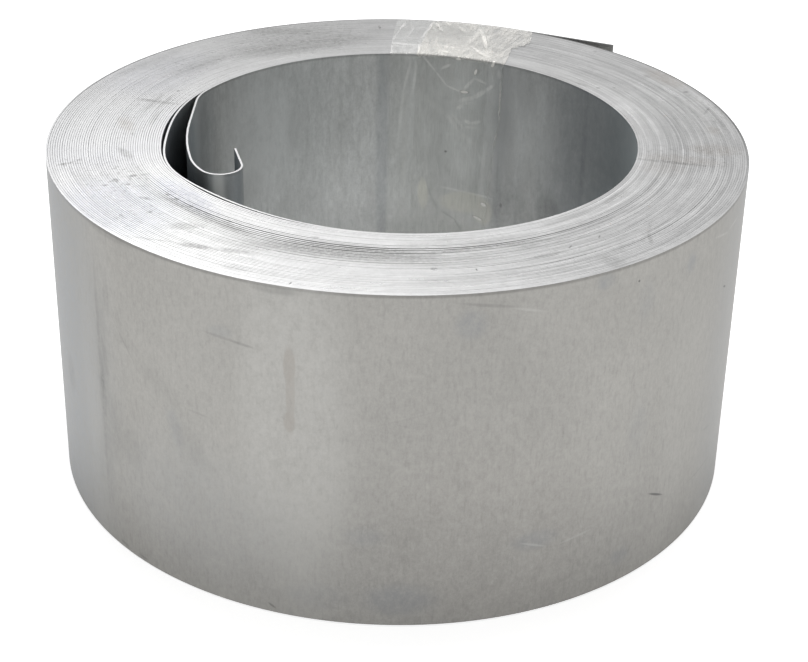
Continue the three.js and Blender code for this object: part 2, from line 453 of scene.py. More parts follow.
# Each group of marks has its tone and how soft their edges are, then the marks. On the outer wall and in the
# bore a mark is its angle and height, half width and half height, strength and tilt, if it has one.
WALL_MARKS = [
    (COOL, SOFT, [
        (-168, 75, 62, 120, 0.95),
        (-15, 75, 36, 120, 0.40),
        (-122, 40, 40, 30, 0.22),
    ]),
    (BLUISH, SOFT, [
        (-124.9, 76, 3.5, 8, 0.22, 15),
        (-67.7, 35.5, 9, 4, 0.34),
        (-94, 43, 7, 4, 0.22),
        (-79.2, 137.5, 5.5, 5.5, 0.30),
        (-58.4, 146.5, 4, 3, 0.34),
        (-39.7, 139, 3, 4, 0.34),
        (-50, 132, 4, 8, 0.14),
        (-49.5, 73, 5, 12, 0.12),
        (-88.5, 13, 13, 7, 0.40),
        (-101, 12, 12, 6, 0.16),
        (-51.2, 13, 5, 4, 0.24),
        (-116, 126, 5, 2.5, 0.20, 10),
    ]),
    (PALE, SOFT, [
        # The first two are a painted sheen: a broad light band down the front of the wall.
        (-105, 92, 22, 85, 0.29),
        (-112, 85, 46, 90, 0.07),
        (-146.5, 75, 6, 60, 0.07),
        (-29.6, 140.9, 7, 0.5, 0.30, -12),
        (-24, 140.2, 6, 0.5, 0.30, 2),
        (-70.7, 141.1, 6.2, 0.5, 0.25, -14),
        (-38, 85, 14, 60, 0.05),
        (-68, 33.4, 5, 0.5, 0.34, -20),
        (-60.5, 31.8, 7, 0.5, 0.24, 8),
    ]),
    (DRIP, CRISP, [
        (-105.15, 117, 2.4, 8, 0.29),
        (-105.05, 106, 1.8, 18, 0.25),
        (-105.25, 92.5, 2.3, 4.8, 0.31),
    ]),
    (BROWN, SOFT, [
        (-14, 92, 2, 34, 0.16),
        (-75, 40, 45, 45, 0.05),
    ]),
    (DARK, SOFT, [
        # The first is painted shade, darker towards the foot in front.
        (-86, 0, 92, 62, 0.18),
        (-78, 75, 40, 95, 0.07),
        (-134, 104, 9, 2.5, 0.08, -14),
        (-128, 93, 14, 5, 0.09, -32),
        (-122, 70, 6, 10, 0.10, 30),
        (-142.4, 76, 1.5, 52, 0.26),
        (-141.6, 74, 4, 46, 0.16),
        (-142.1, 72, 2.6, 22, 0.30),
        (-142.2, 77, 1.6, 8, 0.46),
        (-141, 92, 2, 10, 0.24, 8),
        (-139.5, 121, 2.2, 7, 0.14),
        (-136.5, 112, 1.6, 6, 0.12, 14),
        (-139, 60, 6, 14, 0.16),
        (-135.5, 56, 7, 9, 0.12, 20),
        (-155.7, 64, 5, 8, 0.16),
        (-79.2, 65.5, 4, 4, 0.16),
        (-64.4, 82, 4, 6, 0.09),
        (-88, 20, 18, 9, 0.10),
        (-52, 142, 0.5, 0.5, 0.85),
        (-107, 148.4, 9, 1.6, 0.30),
        (-137.5, 149, 14, 1.4, 0.25),
    ]),
]
# A scratch is its start and end as (angle, height), half width and strength.
WALL_SCRATCHES = [
    ((-118.9, 124.2), (-112, 122.8), 0.6, 0.20),
    ((-115, 123.4), (-110.6, 122.2), 0.6, 0.30),
    ((-80.4, 146.5), (-73.2, 143.5), 0.7, 0.25),
    ((-93, 94), (-83, 101.5), 0.4, 0.10),
    ((-45.2, 37), (-41.8, 32.5), 0.5, 0.95),
    ((-26.2, 113.6), (-25, 112.2), 0.45, 0.80),
    ((-29.2, 47.5), (-25.4, 45.4), 0.4, 0.16),
    ((-33.6, 27.4), (-23.7, 26.8), 0.4, 0.16),
    ((-139.5, 3), (-137.5, 2.6), 0.7, 0.45),
    ((-134.5, 2.6), (-132.5, 2.2), 0.6, 0.40),
    ((-109, 4.6), (-107.9, 2.8), 0.5, 0.60),
    ((-138, 112), (-133, 97), 0.5, 0.14),
    ((-122, 86.5), (-118.5, 86), 0.5, 0.14),
]
BORE_MARKS = [
    (ICE, SOFT, [
        (-2, 105, 50, 130, 0.70),
        (-176, 105, 44, 130, 0.70),
    ]),
    (BLUISH, SOFT, [
        # The first is painted shade over the bore's right-hand side.
        (28, 105, 30, 120, 0.50),
        (61.3, 122, 4, 34, 0.40),
        (61.3, 100, 2, 50, 0.22),
        (155, 110, 12, 95, 0.30),
        (94.5, 100, 3, 70, 0.30),
        (77, 100, 8, 25, 0.12),
    ]),
    (BRIGHT, SOFT, [
        # These are painted light in the bore.
        (66, 120, 36, 30, 0.42),
        (133, 116, 22, 30, 0.50),
        (72, 118, 10, 34, 0.72),
        (72.5, 86, 9, 20, 0.26),
    ]),
    (PALE, SOFT, [
        (126, 120, 26, 50, 0.14),
        (70, 105, 18, 60, 0.12),
        (88.4, 100, 1.3, 45, 0.22),
        (84, 128, 1, 18, 0.16, 4),
        (82.9, 76, 2.6, 10, 0.30),
        (71.5, 63, 13, 17, 0.28),
        (108, 95, 4, 50, 0.10),
        (122, 90, 3, 50, 0.08),
        (52, 85, 4, 40, 0.14),
    ]),
    (CREAM, CRISP, [
        (71, 74.5, 12.5, 5.6, 0.40, -5),
        (65.5, 71, 5, 7, 0.34),
        (82.9, 76.8, 2.6, 8, 0.38, -3),
    ]),
    (DEEP, SOFT, [
        (33, 120, 1.6, 34, 0.16),
        # These two are painted shade in the pocket behind the hook.
        (180, 100, 30, 95, 0.56),
        (-168, 100, 30, 95, 0.60),
    ]),
    (DARK, SOFT, [
        # Of these, the broad ones low in the bore and those at 45 and 146 degrees are painted shade.
        (76.8, 100.6, 0.6, 0.6, 0.85),
        (60.2, 76.6, 0.8, 1.4, 0.60),
        (85.5, 53.1, 0.9, 0.9, 0.50),
        (92, 52.5, 1.4, 2.4, 0.45, 20),
        (61.6, 80, 0.7, 20, 0.20),
        (60, 60, 50, 26, 0.22),
        (84, 52, 60, 20, 0.25),
        (118, 60, 16, 22, 0.16),
        (45, 78, 8, 12, 0.38),
        (56, 71, 7, 7, 0.20),
        (53, 88, 10, 16, 0.12),
        (146, 90, 9, 14, 0.25),
        (135, 92, 8, 8, 0.12),
        (120, 118, 4, 14, 0.10),
        (105.5, 112, 4, 9, 0.08),
    ]),
    (DARK, SOFT, [
        (60, 102, 5.5, 62, 0.23),
        (54.5, 144, 7, 16, 0.18),
        (54.5, 74, 7, 14, 0.16),
        (64, 92, 3, 20, 0.12),
        (92, 144, 8, 10, 0.14),
        (82, 56, 24, 6, 0.20),
    ]),
]
# A painted sheen down the middle of the hook's face, with painted shade beside it. It runs all the way up the
# hook, placed like the marks on the ends.
HOOK_PAINTED_SHEEN_AND_SHADE = [
    (BRIGHT, SOFT, [(-148.6, 87.2, 2.6, 2.6, 0.70)]),
    (BLUISH, SOFT, [(-148.2, 80.5, 4.4, 4.4, 0.48)]),
    (DARK, SOFT, [(-153, 92.5, 3.5, 3.5, 0.28)]),
]
# The tape's folds as they show in the bore, like scratches.
BORE_FOLDS = [
    ((83.9, 149.9), (80, 141.6), 0.5, 0.40),
    ((80, 141.6), (77.1, 135.3), 0.5, 0.45),
    ((77.1, 135.3), (72.6, 132.4), 0.5, 0.60),
    ((78.6, 143.8), (76.2, 146.3), 0.7, 0.56),
    ((72.4, 134.2), (69.4, 140.7), 0.8, 0.59),
    ((69.4, 140.7), (66.2, 139), 0.7, 0.59),
    ((73.4, 128), (69.4, 130.8), 1.1, 0.59),
    ((69.4, 130.8), (66.1, 135.2), 1.2, 0.59),
    ((66.1, 135.2), (64.1, 138.6), 0.9, 0.48),
    ((73.8, 126.4), (69.8, 128), 0.8, 0.31),
    ((74.1, 123.9), (72.5, 125.9), 1, 0.59),
    ((71.8, 118.2), (70, 117.1), 0.9, 0.62),
    ((70, 117.1), (67.3, 118.9), 0.9, 0.56),
    ((71.4, 114.8), (68.5, 115.2), 0.8, 0.34),
    ((82.2, 126.7), (76.9, 120.2), 1.6, 0.13),
    ((76.9, 120.2), (73.4, 112.5), 1.2, 0.27),
    ((75.4, 121), (71.8, 113.5), 0.8, 0.28),
    ((73.4, 112.5), (68.6, 105.3), 1.3, 0.13),
    ((68.6, 105.3), (66.1, 96.5), 1.1, 0.11),
    ((87.1, 145.9), (88.9, 131.4), 0.7, 0.22),
    ((88.9, 131.4), (90, 108.2), 0.8, 0.16),
    ((85.2, 146.1), (86.4, 130), 0.7, 0.20),
    ((78.5, 81.3), (70.4, 80), 0.6, 0.20),
    ((70.4, 80), (63.4, 79.2), 0.6, 0.24),
    ((62.5, 146.8), (62.3, 142.6), 1, 0.26),
]
BORE_SCRATCHES = [
    ((77.5, 68), (73.8, 64.5), 0.6, 0.32),
    ((73.8, 64.5), (71.3, 58), 0.6, 0.32),
    ((81.4, 80.7), (80.6, 75.5), 0.6, 0.22),
    ((80.6, 75.5), (78.9, 69.6), 0.6, 0.22),
]
# A mark on the ends is its angle and radius, half size outwards and along the turns, strength and tilt.
TOP_MARKS = [
    (LAVENDER, SOFT, [
        (-145, 136, 20, 27, 0.62),
        (-142, 109.5, 6, 21, 0.75),
        (180, 128, 28, 42, 0.38),
        (150, 132, 18, 34, 0.30),
    ]),
    (PALE, SOFT, [
        (48, 108, 3.4, 34, 0.13),
        (108, 107.5, 4, 30, 0.13),
        (45, 112, 6, 20, 0.05),
        # This one is painted light on the left of the upper end.
        (176, 130, 24, 34, 0.36),
    ]),
    (BROWN, SOFT, [
        (176.5, 120, 3, 8, 0.24, 25),
        (-4.2, 137, 10, 6, 0.27),
        (-10, 123, 16, 5, 0.24),
        (31, 146, 5, 13, 0.30),
        (5, 139.5, 3, 5, 0.24),
        (-15, 116, 9, 8, 0.15),
    ]),
    (DARK, SOFT, [
        (94.3, 140, 2.6, 0.7, 0.95),
        (112, 138, 12, 34, 0.28),
        (-143, 138, 14, 16, 0.13),
        (98, 107.5, 4, 40, 0.16),
        (90, 138, 12, 34, 0.18),
        (-136, 108.5, 3.5, 20, 0.11),
        (-75, 108, 4, 26, 0.17),
        (12, 136, 16, 42, 0.17),
        (74.7, 116.2, 0.9, 0.6, 0.60),
        (79, 136, 8, 9, 0.24),
        (84, 133.8, 0.6, 3, 0.50, -20),
        (79.5, 130, 0.6, 2, 0.45, -10),
        (162.5, 115, 9.5, 1.8, 0.45),
        (164, 115.5, 1.4, 12, 0.26),
        (162, 111, 1.2, 9, 0.26),
        (172, 109, 1.2, 8, 0.26),
        (145, 145, 3, 22, 0.22),
        (113.4, 142.5, 5.5, 20, 0.50, -24),
        (117, 144.5, 3, 6, 0.27, -20),
        (113, 122, 11, 36, 0.46),
        (139, 126, 5, 20, 0.28),
        (143, 139, 4, 14, 0.17, -8),
        (154.8, 112, 0.6, 0.8, 0.68),
        (-168, 118.5, 2, 6, 0.40, 20),
        (-165, 144.5, 2.4, 1, 0.60, 10),
        (-165.5, 141, 1.6, 0.8, 0.50, 10),
        (-166.2, 138, 1.2, 0.8, 0.36),
        (-155.4, 127.5, 1.2, 1.8, 0.70),
        (-152.7, 124.2, 1.3, 1, 0.70),
        (-154, 132.6, 0.8, 0.8, 0.60),
        (-156.3, 119.5, 1.5, 1.2, 0.75),
        (-156, 115, 2, 1, 0.40),
        (-141.5, 139.6, 0.9, 1.2, 0.55),
        (-140.4, 134.6, 1, 1.2, 0.50),
        (-139.8, 128.8, 1.1, 1.2, 0.65),
        (-145.5, 123.5, 1.2, 3, 0.50, 25),
        (-144.6, 114.4, 0.9, 1.4, 0.60),
        (-141.6, 114, 1, 1.4, 0.70),
        (-137, 113, 1, 1.6, 0.50),
        (-126.3, 112, 0.8, 1.4, 0.45),
        (-107, 108.4, 0.7, 1.6, 0.45),
        (-132, 114.5, 2.4, 30, 0.42),
        (-100, 117.5, 6.5, 40, 0.50),
        (-96, 115, 3, 24, 0.56),
        (-74, 114.5, 2, 30, 0.40),
        (-115, 145, 1.5, 8, 0.20),
        (-81, 122.5, 1.8, 22, 0.34),
        (-63.5, 129, 1.3, 7, 0.37),
        (-83.7, 129.5, 0.9, 1.2, 0.68),
        (-78, 139, 2.5, 26, 0.17),
        (-55.5, 146, 6, 4, 0.24),
        (-64.5, 119, 2, 4, 0.24),
        (-34, 108, 2, 9, 0.31),
        (23.7, 145, 1.8, 1.2, 0.58),
        (33.6, 140.5, 1.5, 2, 0.34),
        (49.2, 145.5, 0.8, 0.8, 0.44),
        (53.1, 129.5, 0.8, 0.6, 0.54),
        (31.8, 117.5, 0.7, 0.7, 0.61),
        (33.6, 111, 1, 1, 0.44),
        (37.5, 107.5, 1, 4, 0.34, 12),
    ]),
    (RUST, SOFT, [
        (67.5, 116.7, 0.7, 0.6, 0.60),
        (-42.9, 134.5, 0.4, 0.4, 0.35),
        (-45.6, 120.8, 0.4, 0.4, 0.35),
        (-34.2, 123, 0.4, 0.5, 0.30),
        (13.5, 123.5, 0.6, 0.6, 0.30),
    ]),
]
# Where the upper end is flecked with dirt.
TOP_FLECKED = [
    (-156, 128, 15, 20, 0.50),
    (-165, 142, 7, 6, 0.40),
    (-140, 132, 16, 16, 0.30),
    (-141, 113, 3, 12, 0.50),
    (-130, 125, 8, 9, 0.40),
    (176, 118, 7, 24, 0.34),
    (162, 113, 9, 10, 0.34),
    (112, 130, 20, 34, 0.50),
    (140, 127, 12, 24, 0.36),
    (-8, 128, 24, 14, 0.30),
    (15, 142, 8, 30, 0.30),
    (-52, 128, 22, 30, 0.16),
]
# A scratch on the ends is its start and end as (angle, radius), half width and strength.
TOP_SCRATCHES = [
    ((-135.5, 149.5), (-127.8, 139.5), 0.6, 0.34),
    ((-127, 139.2), (-121.5, 135), 1.8, 0.55),
    ((-121.5, 135), (-114.5, 130.5), 1.8, 0.45),
    ((-133.5, 133), (-128.5, 121), 3, 0.34),
    ((-46.5, 143.5), (-43.8, 137), 0.9, 0.34),
    ((-43.8, 137), (-40.2, 131.5), 0.8, 0.20),
    ((15.6, 146.5), (12.9, 141.5), 0.6, 0.52),
    ((-105.3, 149.5), (-105.2, 147), 0.3, 0.65),
    ((-76.8, 133.4), (-76.8, 131.5), 0.3, 0.95),
    ((-58.6, 127.8), (-57.7, 126.4), 0.35, 0.91),
    ((-51.6, 126.9), (-50.8, 125.6), 0.35, 0.85),
    ((-11.7, 134), (-11.6, 103), 1.3, 0.40),
    ((26.8, 119.6), (29.2, 119.5), 0.4, 0.36),
]


def rolled_place(face):
    """What gives a place on a rolled face that is laid flat, and how far a mark there is turned."""
    radius, middle = face
    return lambda angle, height: ((math.radians(wrapped(angle - middle)) * radius, height), 0)


def end_place(angle, radius):
    """A place on the coil's ends, and how far a mark there is turned."""
    return (radius * unit(angle)).tolist(), angle


def marks_share(finish, sheet, place_at, soft, marks):
    """The strongest of a list of marks at each place."""
    total = 0.0
    for angle, height_or_radius, half_width, half_length, strength, *tilt in marks:
        place, turned = place_at(angle, height_or_radius)
        mark = finish.mark(sheet, place, (half_width, half_length), turned + sum(tilt), soft, strength)
        total = finish.math("MAXIMUM", total, mark)
    return total


def scratches_share(finish, sheet, place_at, scratches):
    """The strongest of a list of scratches at each place."""
    total = 0.0
    for start, end, half_width, strength in scratches:
        ends = [place_at(*place)[0] for place in (start, end)]
        mark = finish.stroke(sheet, *ends, half_width, strength=strength)
        total = finish.math("MAXIMUM", total, mark)
    return total


def stains_and_painted_light(finish, colour, sheet, place_at, groups, share=1.0):
    """A colour under groups of marks, stains and painted light and shade among them, of which a share shows.
    """
    for tone, soft, marks in groups:
        stain = finish.times(marks_share(finish, sheet, place_at, soft, marks), share)
        colour = finish.mix(stain, colour, tone)
    return colour


# A noise is its scale, detail, roughness and distortion. A shade, or a roughness, is from and to which value
# of the noise it changes, and what it is at each. The zinc's grain is drawn out upwards.
SHORT_GRAIN, LONG_GRAIN = (1, 1, 0.7), (1, 1, 0.22)
GRAIN_NOISE, GRAIN_SHADE, GRAIN_ROUGHNESS = (0.42, 3, 1.0), (0.25, 0.75, 0.84, 1.16), (0.3, 0.7, 0.42, 0.54)
FLECK_NOISE, FLECK_SHADE = (0.9, 1, 0.5), (0.52, 0.72, 1.01, 0.94)
CLOUD_NOISE, CLOUD_SHADE = (0.035, 3, 0.55), (0.3, 0.7, 0.97, 1.03)
CLOUD_SHIFT = 50.0  # how far up or down, in mm, clouds move the face's change of shade with height
STREAK_NOISE, STREAK_RANGE = (0.3, 3, 0.7, 0.7), (0.3, 0.7)
# Painted shadow along the rolled faces' top edge and foot.
EDGE_PAINTED_SHADOW = (0.3, 1.3, 0.72, 1.0)  # by the distance from the strip's nearer edge
BROKEN_NOISE, BROKEN_RANGE, BROKEN_MOST = (0.25, 4, 0.8), (0.35, 0.6), 1.15


def zinc_face(name, colour, height_shade, streaking, mottled, face, marks, scratches, hook_sheen_and_shade=()):
    """A rolled face of the strip: matte zinc with a short upright grain, its own stains and scratches, and
    painted light and shade.
    """
    finish = Finish(name)
    radius, middle = face
    place, angle, _, height = finish.cylinder(middle)
    grain = finish.noise(finish.scaled(place, SHORT_GRAIN), *GRAIN_NOISE)
    fleck = finish.noise(finish.scaled(place, LONG_GRAIN), *FLECK_NOISE)
    cloud = finish.noise(finish.scaled(place, SHORT_GRAIN), *CLOUD_NOISE)
    streak = finish.noise(finish.scaled(place, LONG_GRAIN), *STREAK_NOISE)
    shade = finish.times(
        finish.line(grain, *GRAIN_SHADE),
        finish.line(fleck, *FLECK_SHADE),
        finish.line(cloud, *CLOUD_SHADE),
        finish.line(streak, *STREAK_RANGE, 1 - streaking, 1 + streaking),
    )
    level = finish.math("MULTIPLY_ADD", cloud, CLOUD_SHIFT, height)
    to_edge = finish.math("MINIMUM", height, finish.math("SUBTRACT", FOOT + STRIP_WIDTH, height))
    shade = finish.times(shade, finish.line(level, *height_shade), finish.ramp(to_edge, *EDGE_PAINTED_SHADOW))
    colour = finish.mix(1.0, colour, finish.join(shade, shade, shade), "MULTIPLY")
    sheet = finish.join(finish.times(angle, radius), height)
    broken = finish.line(finish.noise(place, *BROKEN_NOISE), *BROKEN_RANGE, mottled, BROKEN_MOST)
    colour = stains_and_painted_light(finish, colour, sheet, rolled_place(face), marks, broken)
    colour = stains_and_painted_light(finish, colour, finish.scaled(place, PLAN), end_place, hook_sheen_and_shade)
    for tone, group in scratches:
        share = scratches_share(finish, sheet, rolled_place(face), group)
        colour = finish.mix(share, colour, tone)
    finish.set(Base_Color=colour, Metallic=1.0, Roughness=finish.line(grain, *GRAIN_ROUGHNESS))
    finish.set(Specular_Tint=GRAZING_TINT)
    return finish.material


# The slit edges' tone changes from turn to turn, from one group of turns to the next, and with place in mm:
# to the right of the coil, across it towards the back, round the bore, and on the outermost turn. Darker
# towards the back is painted shade, and the dark outermost rim is painted shadow.
EDGE_NOISE_REACH = 0.02
TURN_STRETCH, TURN_NOISE = (1.4, 1, 1), (1.0, 2, 0.6)
TURN_SHADE, TURN_ROUGHNESS = (0.3, 0.7, 0.90, 1.07), (0.3, 0.7, 0.36, 0.26)
GROUP_STRETCH, GROUP_SHADE = (0.35, 0.6, 0.6), (0.3, 0.7, 0.965, 1.03)
RIGHTWARD_CONTRAST = (-30.0, 80.0, 1.0, 2.9)
DIRT_NOISE, DIRT_SHADE = (0.12, 4, 0.65), (0.35, 0.75, 1.04, 0.92)
SPECK_NOISE, SPECK_SHADE = (0.8, 3, 0.8), (0.3, 0.7, 1.06, 0.94)
# Painted shade towards the back, and painted shadow along the outermost turn's rim.
BACKWARD_PAINTED_SHADE = (-30.0, 100.0, 1.0, 0.88)
BORE_RIM_SHADE = (110.0, 117.0, 1.11, 1.0)
RIM_PAINTED_SHADOW_BACKWARD = (0.0, 60.0, 0.0, 0.45)
RIM_PAINTED_SHADOW_AT_TAIL = (TAIL_ROOT_TURNS - 0.76, TAIL_ROOT_TURNS - 0.84, 0.0, 0.62)
TOP_BROKEN_NOISE, TOP_BROKEN = (0.6, 3, 0.8), (0.35, 0.62, 0.4, 1.3)
FLECKED_NOISE, FLECKED_RANGE = (0.42, 3, 0.6), (0.52, 0.68)


def slit_edges():
    """The strip's slit edges, which shine on the coil's ends. Each turn has its own tone."""
    finish = Finish("slit_edges")
    place, _, radius, height = finish.cylinder()
    turns = finish.node("ShaderNodeAttribute", attribute_name="turns").outputs["Fac"]
    plan = finish.scaled(place, (EDGE_NOISE_REACH, EDGE_NOISE_REACH, 0))
    plan = finish.node("ShaderNodeSeparateXYZ", {0: plan}).outputs
    winding = finish.join(turns, plan[0], plan[1])
    rightward, backward, _ = finish.node("ShaderNodeSeparateXYZ", {0: place}).outputs
    each = finish.noise(finish.scaled(winding, TURN_STRETCH), *TURN_NOISE)
    group = finish.noise(finish.scaled(winding, GROUP_STRETCH), *TURN_NOISE)
    dirt = finish.noise(place, *DIRT_NOISE)
    speck = finish.noise(place, *SPECK_NOISE)
    contrast = finish.ramp(rightward, *RIGHTWARD_CONTRAST)
    shade = finish.times(
        finish.math("POWER", finish.line(each, *TURN_SHADE), contrast),
        finish.line(group, *GROUP_SHADE),
        finish.line(dirt, *DIRT_SHADE),
        finish.line(speck, *SPECK_SHADE),
    )
    # Painted shadow along the outermost turn's rim, at the back and at the tail.
    outermost = finish.math("GREATER_THAN", turns, TAIL_ROOT_TURNS - 1)
    at_tail = finish.ramp(turns, *RIM_PAINTED_SHADOW_AT_TAIL)
    painted_rim_shadow = finish.math("MAXIMUM", finish.ramp(backward, *RIM_PAINTED_SHADOW_BACKWARD), at_tail)
    rim_after_painted_shadow = finish.math("SUBTRACT", 1.0, finish.times(outermost, painted_rim_shadow))
    # Painted shade: the edges darker towards the back.
    away = finish.ramp(backward, *BACKWARD_PAINTED_SHADE)
    shade = finish.times(shade, rim_after_painted_shadow, away, finish.ramp(radius, *BORE_RIM_SHADE))
    colour = finish.mix(1.0, SLIT, finish.join(shade, shade, shade), "MULTIPLY")
    upper = finish.math("GREATER_THAN", height, STRIP_WIDTH / 2)
    sheet = finish.scaled(place, PLAN)
    uneven = finish.times(finish.line(finish.noise(place, *TOP_BROKEN_NOISE), *TOP_BROKEN), upper)
    colour = stains_and_painted_light(finish, colour, sheet, end_place, TOP_MARKS, uneven)
    flecks = finish.times(finish.ramp(finish.noise(sheet, *FLECKED_NOISE), *FLECKED_RANGE), upper)
    colour = stains_and_painted_light(finish, colour, sheet, end_place, [(DARK, SOFT, TOP_FLECKED)], flecks)
    share = finish.times(scratches_share(finish, sheet, end_place, TOP_SCRATCHES), uneven)
    colour = finish.mix(share, colour, DARK)
    finish.set(Base_Color=colour, Metallic=1.0, Roughness=finish.line(each, *TURN_ROUGHNESS))
    return finish.material


# The tape goes twice round the coil's section. A place along a wrap is its leg (0 up the bore, 1 out over the
# top, 2 down the outer wall, 3 in under the foot) plus the part of that leg.
FILM_THICKNESS = 0.05
FILM_CORNER = 0.5
FILM_LEG_STEPS = (44, 58, 24, 12)
FILM_CORNER_STEPS = 4
FILM_STRIPS = 48
FILM_SHARP_CORNER = 60.0
FILM_FLAT = 0.1  # this part of the outer leg, next to the foot, has no creases, nor has the foot
# Each wrap: how far off the coil it lies, then its right and left edges as (place, angle) points.
FILM_WRAPS = [
    (
        0.02,
        [(0, 68.4), (1, 65.5), (2, 72.7), (3, 72.6), (4, 68.4)],
        [(0, 93.6), (1, 92.6), (2, 90.5), (3, 90.7), (4, 93.6)],
    ),
    (
        0.08,
        [
            (0, 66.5), (0.42, 64.8), (0.7, 62.8), (0.78, 61.6), (1, 61), (1.44, 64.1), (1.47, 63.1),
            (1.52, 63.2), (1.56, 62.1), (1.62, 62.4), (1.66, 61.9), (1.95, 63.8),
            (2, 64.7), (3, 65.2), (4, 66.5),
        ],
        [(0, 87.2), (1, 85.4), (2, 83.5), (3, 83.6), (4, 87.2)],
    ),
]

# The film's own flat sheet: across it, mm at this radius from the angle of 0; along it, mm outwards over the
# top from the bore's rim, or negative down the bore.
SHEET_RADIUS = 115.0
# Its creases, as straight strokes: start and end as (angle, mm along), half width, height and whiteness.
FILM_CREASES = [
    ((73.6, 38.9), (69.3, 15), 0.8, 0.35, 0.42),
    ((73.6, 38.9), (73.7, 19), 1, 0.30, 0.14),
    ((72.4, 13.9), (69, 6.2), 0.7, 0.35, 0.45),
    ((83.5, 47.5), (85.4, 13.1), 0.5, 0.25, 0.22),
    ((85.4, 13.1), (85.1, 0.5), 0.7, 0.30, 0.35),
    ((88.6, 46.5), (91.8, 16.3), 0.5, 0.20, 0.20),
    ((86.4, 47.5), (88.6, 16.7), 0.4, 0.10, 0.07),
    ((82.9, 43.4), (82.1, 38.4), 0.6, 0.25, 0.22),
    ((82.1, 38.4), (81.1, 32), 0.6, 0.25, 0.18),
    ((81, 46), (80, 42), 0.6, 0.15, 0.15),
    ((78, 40), (76.5, 34), 0.9, 0.20, 0.12),
    ((78.9, 4.3), (76.6, 2.5), 0.7, 0.30, 0.50),
    ((92.1, 13.2), (86.3, 10.5), 0.8, 0.20, 0.20),
    ((81, 12.5), (75.5, 9.5), 0.6, 0.25, 0.22),
    ((79, 10), (73.5, 6), 0.5, 0.20, 0.15),
    ((71.5, 9), (66, 3), 0.6, 0.25, 0.20),
    ((68, 12), (65, 8), 0.5, 0.20, 0.12),
    ((69.5, 44), (64.5, 41), 0.6, 0.15, 0.12),
    ((61.7, -2.7), (61.9, -32), 0.5, 0, 0.24),
    ((62, -32), (63.2, -44.7), 0.5, 0, 0.24),
    ((63.2, -44.7), (65, -86.5), 0.5, 0, 0.20),
]
# Painted highlights where light glints off its folds: place as (angle, mm along), half its breadth and
# length, and tilt.
FILM_GLINTS = [
    ((69.1, -6), (0.8, 1.7), 20),
    ((72.1, -17), (2.3, 0.8), 0),
    ((65.4, -75), (1.7, 0.9), 20),
    ((67, -83), (2.8, 0.7), 15),
    ((74, -0.6), (1.4, 0.6), 0),
    ((64.3, -1), (0.8, 1.5), 30),
]
WRINKLE_SEED = 11
WRINKLE_HEIGHT = 0.12
WRINKLE_WAVES = 7
WRINKLE_TIGHTEST, WRINKLE_SHIFT = 0.9, 6


def film_sheet(angle, along):
    return np.stack([np.radians(angle) * SHEET_RADIUS, along], -1)


def film_edge(places, edge):
    knots, angles = np.transpose(edge)
    return np.interp(places, knots, angles)


def film_rows():
    """Each row across the film: its place along the wrap, and the way that it faces (0 outwards, 90 up)."""
    rows = []
    for leg, steps in enumerate(FILM_LEG_STEPS):
        facing = 180 - 90 * leg
        rows += [(leg + step / steps, facing) for step in range(steps + 1)]
        rows += [(leg + 1, facing - 90 * step / FILM_CORNER_STEPS) for step in range(1, FILM_CORNER_STEPS)]
    return np.array(rows)


def crease_height(sheet):
    """How far the film stands off the coil: its creases, and low wrinkles between them."""
    height = np.zeros(sheet.shape[:2])
    for start, end, half_width, rise, _ in FILM_CREASES:
        a, b = film_sheet(*start), film_sheet(*end)
        part = np.clip((sheet - a) @ (b - a) / ((b - a) @ (b - a)), 0, 1)
        away = np.linalg.norm(sheet - a - part[..., None] * (b - a), axis=-1)
        height += rise * bell(away, half_width)
    random = np.random.default_rng(WRINKLE_SEED)
    for _ in range(WRINKLE_WAVES):
        wave = random.uniform(-WRINKLE_TIGHTEST, WRINKLE_TIGHTEST, 2)
        shift = random.uniform(0, WRINKLE_SHIFT)
        height += WRINKLE_HEIGHT / WRINKLE_WAVES * (1 + np.sin(sheet @ wave + shift))
    return height


def film_wrap(clearance, right_edge, left_edge, top):
    """One wrap of film as closed rings of points, and each point's place on the film's sheet."""
    places, facings = film_rows().T
    right, left = film_edge(places, right_edge), film_edge(places, left_edge)
    share = np.linspace(0, 1, FILM_STRIPS + 1)
    angle = right[:, None] + (left - right)[:, None] * share
    place = places[:, None]
    corner = FILM_CORNER
    bore = even_face(turns_at(angle)) + corner
    rim = even_face(turns_at(np.maximum(angle, TAIL_ROOT_ANGLE)) + WHOLE_TURNS + 1) - corner
    radius = bore + np.interp(place, range(5), (0, 0, 1, 1, 0)) * (rim - bore)
    low, high = FOOT + corner, top - corner
    height = np.interp(place, range(5), (low, high, high, low, low))
    depth = (high - height) * np.where(place < 1, -1, 1)
    sheet = film_sheet(angle, radius - bore + depth)
    sheet[places > 3] = sheet[places <= 3][-1]
    rise = crease_height(sheet) * (places < 3 - FILM_FLAT)[:, None]
    layers = []
    for lift in (FILM_THICKNESS, 0):
        off = corner + clearance + lift + rise
        out = radius + off * np.cos(np.radians(facings))[:, None]
        up = height + off * np.sin(np.radians(facings))[:, None]
        layers.append(np.concatenate([out[..., None] * unit(angle), up[..., None]], -1))
    rings = np.concatenate([layers[0], layers[1][:, ::-1]], 1)
    return rings, np.concatenate([sheet, sheet[:, ::-1]], 1)


